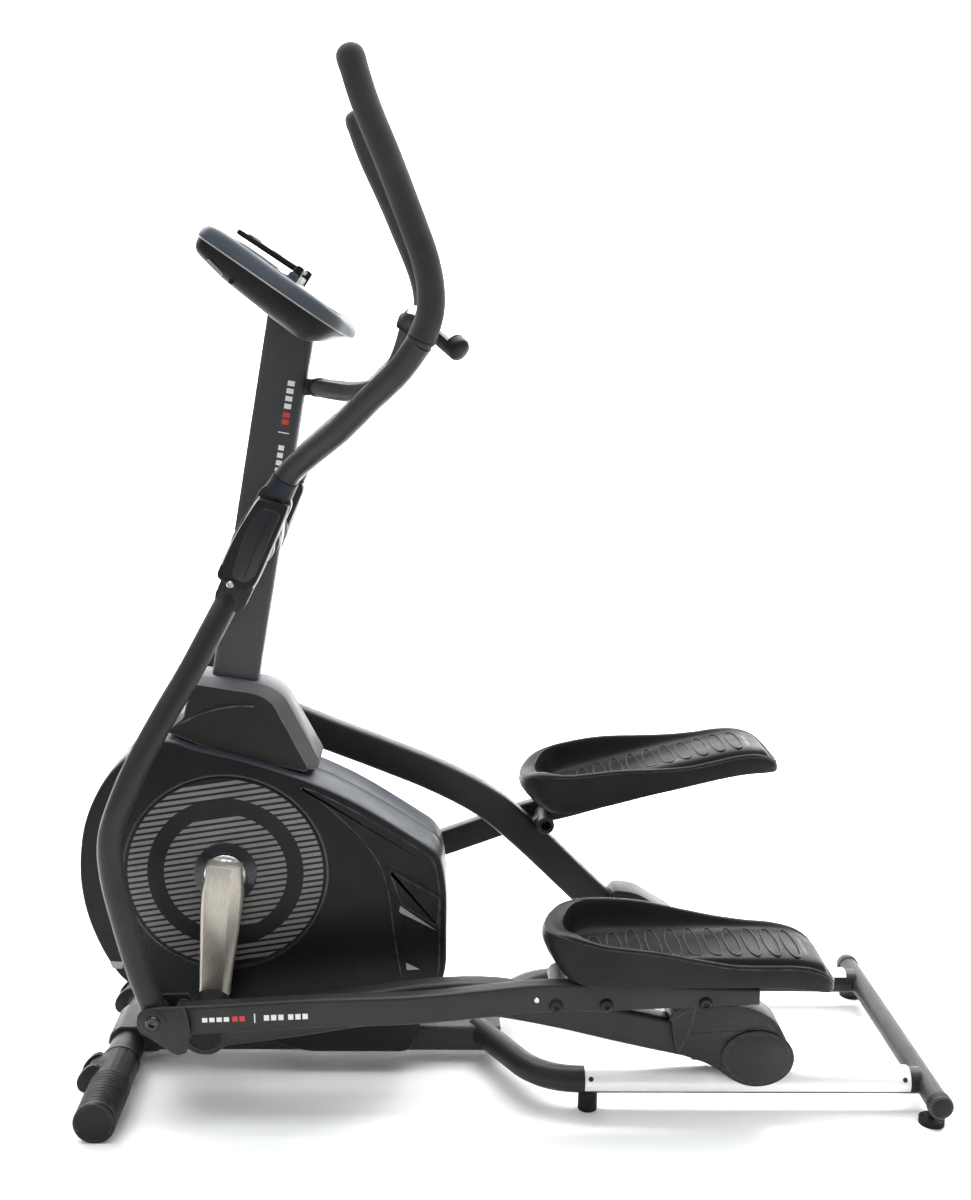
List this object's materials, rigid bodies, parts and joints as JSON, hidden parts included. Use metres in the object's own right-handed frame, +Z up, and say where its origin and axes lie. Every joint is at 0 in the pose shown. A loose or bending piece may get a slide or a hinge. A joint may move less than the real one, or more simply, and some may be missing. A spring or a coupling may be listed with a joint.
{
  "type": "elliptical trainer",
  "caption": "Front-drive elliptical trainer with swinging handlebars, cupped pedals on roller arms over two rear rails, a round drive housing and a sloped console.",
  "frame": {"origin": "centre of the footprint, on the floor", "axes": "+Z up, +X towards the rear of the machine (the end of the rails), +Y towards its right side"},
  "size_m": [1.3943, 0.6238, 1.6028],
  "materials": {
    "frame_steel": "satin black powder coat",
    "mast_steel": "satin black powder coat",
    "black_plastic": "fine-grained black plastic",
    "housing_plastic": "satin near-black plastic",
    "grey_plastic": "satin slate grey plastic",
    "disc_plastic": "grey and black plastic",
    "display": "dark glossy window",
    "button_rubber": "light grey rubber",
    "crank_cover": "satin champagne silver",
    "bright_metal": "bare steel",
    "strip_aluminium": "bright satin aluminium",
    "cast_iron": "turned cast iron",
    "pulley_plastic": "moulded black plastic",
    "foot_rubber": "black rubber",
    "grip_foam": "matte black foam",
    "pedal_plastic": "satin black plastic"
  },
  "bodies": {
    "frame": {"base_beam": "frame_steel", "front_stabilizer": "frame_steel", "rear_stabilizer": "frame_steel", "upright_post": "frame_steel", "mast": "mast_steel", "collar_cover": "black_plastic", "drive_belt": "foot_rubber", "handle_axle": "bright_metal", "fixed_handlebar": "mast_steel", "console_lower": "black_plastic", "console_upper": "grey_plastic", "console_display": "display", "front_cap_left": "black_plastic", "rail_left": "frame_steel", "rail_strip_left": "strip_aluminium", "rail_foot_left": "foot_rubber", "housing_left": "housing_plastic", "side_disc_left": "disc_plastic", "pulse_grip_left": "black_plastic", "front_cap_right": "black_plastic", "rail_right": "frame_steel", "rail_strip_right": "strip_aluminium", "rail_foot_right": "foot_rubber", "housing_right": "housing_plastic", "side_disc_right": "disc_plastic", "pulse_grip_right": "black_plastic"},
    "crank_set": {"crank_axle": "bright_metal", "drive_pulley": "pulley_plastic", "crank_left": "crank_cover", "crank_right": "crank_cover"},
    "flywheel": {"flywheel": "cast_iron"},
    "magnet_bracket": {"magnet_bracket": "bright_metal"},
    "tablet_flap": {"tablet_flap": "black_plastic"},
    "button_1": {"console_button_1": "button_rubber"},
    "button_2": {"console_button_2": "button_rubber"},
    "button_3": {"console_button_3": "button_rubber"},
    "carriage_left": {"roller_axle_left": "bright_metal"},
    "roller_left": {"roller_left": "pulley_plastic"},
    "arm_left": {"roller_arm_left": "frame_steel", "roller_cover_left": "black_plastic"},
    "handle_left": {"handlebar_left": "mast_steel", "grip_left": "grip_foam", "shroud_left": "black_plastic", "pivot_bush_left": "bright_metal"},
    "pedal_bar_left": {"pedal_bar_left": "frame_steel", "pedal_left": "pedal_plastic"},
    "transport_wheel_left": {"transport_wheel_left": "black_plastic"},
    "levelling_foot_left": {"levelling_foot_left": "foot_rubber"},
    "carriage_right": {"roller_axle_right": "bright_metal"},
    "roller_right": {"roller_right": "pulley_plastic"},
    "arm_right": {"roller_arm_right": "frame_steel", "roller_cover_right": "black_plastic"},
    "handle_right": {"handlebar_right": "mast_steel", "grip_right": "grip_foam", "shroud_right": "black_plastic", "pivot_bush_right": "bright_metal"},
    "pedal_bar_right": {"pedal_bar_right": "frame_steel", "pedal_right": "pedal_plastic"},
    "transport_wheel_right": {"transport_wheel_right": "black_plastic"},
    "levelling_foot_right": {"levelling_foot_right": "foot_rubber"}
  },
  "joints": [
    {"name": "crank_spin", "type": "hinge", "parent": "frame", "child": "crank_set", "pos_m": [-0.46, 0, 0.355], "axis": [0, -1, 0], "continuous": true},
    {"name": "flywheel_spin", "type": "hinge", "parent": "frame", "child": "flywheel", "pos_m": [-0.255, 0, 0.29], "axis": [0, -1, 0], "continuous": true},
    {"name": "magnet_tilt", "type": "hinge", "parent": "frame", "child": "magnet_bracket", "pos_m": [-0.271, 0, 0.438], "axis": [0, -1, 0], "range_deg": [0, 2]},
    {"name": "tablet_fold", "type": "hinge", "parent": "frame", "child": "tablet_flap", "pos_m": [-0.34391, 0, 1.31168], "axis": [0, -1, 0], "range_deg": [-62, 0]},
    {"name": "button_1_press", "type": "slide", "parent": "frame", "child": "button_1", "axis": [-0.5446, 0, -0.8387], "range_m": [0, 0.0012], "stiffness_N_per_m": 900, "springref_m": -0.0006},
    {"name": "button_2_press", "type": "slide", "parent": "frame", "child": "button_2", "axis": [-0.5446, 0, -0.8387], "range_m": [0, 0.0012], "stiffness_N_per_m": 900, "springref_m": -0.0006},
    {"name": "button_3_press", "type": "slide", "parent": "frame", "child": "button_3", "axis": [-0.5446, 0, -0.8387], "range_m": [0, 0.0012], "stiffness_N_per_m": 900, "springref_m": -0.0006},
    {"name": "arm_slide_left", "type": "slide", "parent": "frame", "child": "carriage_left", "axis": [1, 0, 0], "range_m": [-0.2, 0.163]},
    {"name": "roller_spin_left", "type": "hinge", "parent": "carriage_left", "child": "roller_left", "pos_m": [0.3943, -0.18, 0.102], "axis": [0, -1, 0], "range_deg": [-411.4, 411.4]},
    {"name": "arm_lift_left", "type": "hinge", "parent": "carriage_left", "child": "arm_left", "pos_m": [0.3943, -0.18, 0.102], "axis": [0, -1, 0], "range_deg": [-30.2, 0]},
    {"name": "handle_swing_left", "type": "hinge", "parent": "frame", "child": "handle_left", "pos_m": [-0.41, 0, 0.895], "axis": [0, -1, 0], "range_deg": [-16.62, 13.56]},
    {"name": "bar_lift_left", "type": "hinge", "parent": "carriage_left", "child": "pedal_bar_left", "pos_m": [-0.546, -0.229, 0.183], "axis": [0, -1, 0], "range_deg": [0, 21.24]},
    {"name": "transport_spin_left", "type": "hinge", "parent": "frame", "child": "transport_wheel_left", "pos_m": [-0.678, -0.136, 0.027], "axis": [0, -1, 0], "continuous": true},
    {"name": "level_turn_left", "type": "hinge", "parent": "frame", "child": "levelling_foot_left", "pos_m": [0.677, -0.223, 0.02], "axis": [0, 0, 1], "continuous": true},
    {"name": "arm_slide_right", "type": "slide", "parent": "frame", "child": "carriage_right", "axis": [1, 0, 0], "range_m": [-0.164, 0.201]},
    {"name": "roller_spin_right", "type": "hinge", "parent": "carriage_right", "child": "roller_right", "pos_m": [0.2934, 0.18, 0.102], "axis": [0, -1, 0], "range_deg": [-411.4, 411.4]},
    {"name": "arm_lift_right", "type": "hinge", "parent": "carriage_right", "child": "arm_right", "pos_m": [0.2934, 0.18, 0.102], "axis": [0, -1, 0], "range_deg": [0, 30.2]},
    {"name": "handle_swing_right", "type": "hinge", "parent": "frame", "child": "handle_right", "pos_m": [-0.41, 0, 0.895], "axis": [0, -1, 0], "range_deg": [-13.56, 16.62]},
    {"name": "bar_lift_right", "type": "hinge", "parent": "carriage_right", "child": "pedal_bar_right", "pos_m": [-0.5197, 0.229, 0.1785], "axis": [0, -1, 0], "range_deg": [-13.99, 0]},
    {"name": "transport_spin_right", "type": "hinge", "parent": "frame", "child": "transport_wheel_right", "pos_m": [-0.678, 0.136, 0.027], "axis": [0, -1, 0], "continuous": true},
    {"name": "level_turn_right", "type": "hinge", "parent": "frame", "child": "levelling_foot_right", "pos_m": [0.677, 0.223, 0.02], "axis": [0, 0, 1], "continuous": true}
  ],
  "couplings": [
    {"joint": "flywheel_spin", "follows": "crank_spin", "ratio": 8.125},
    {"joint": "roller_spin_left", "follows": "arm_slide_left", "rad_per_m": -35.461},
    {"joint": "handle_swing_left", "follows": "arm_slide_left", "rad_per_m": 1.4416},
    {"joint": "bar_lift_left", "follows": "arm_lift_left", "ratio": -0.7},
    {"joint": "arm_slide_right", "follows": "arm_slide_left", "ratio": -1},
    {"joint": "roller_spin_right", "follows": "arm_slide_left", "rad_per_m": 35.461},
    {"joint": "arm_lift_right", "follows": "arm_lift_left", "ratio": -1},
    {"joint": "handle_swing_right", "follows": "arm_slide_left", "rad_per_m": -1.4416},
    {"joint": "bar_lift_right", "follows": "arm_lift_left", "ratio": 0.46}
  ]
}
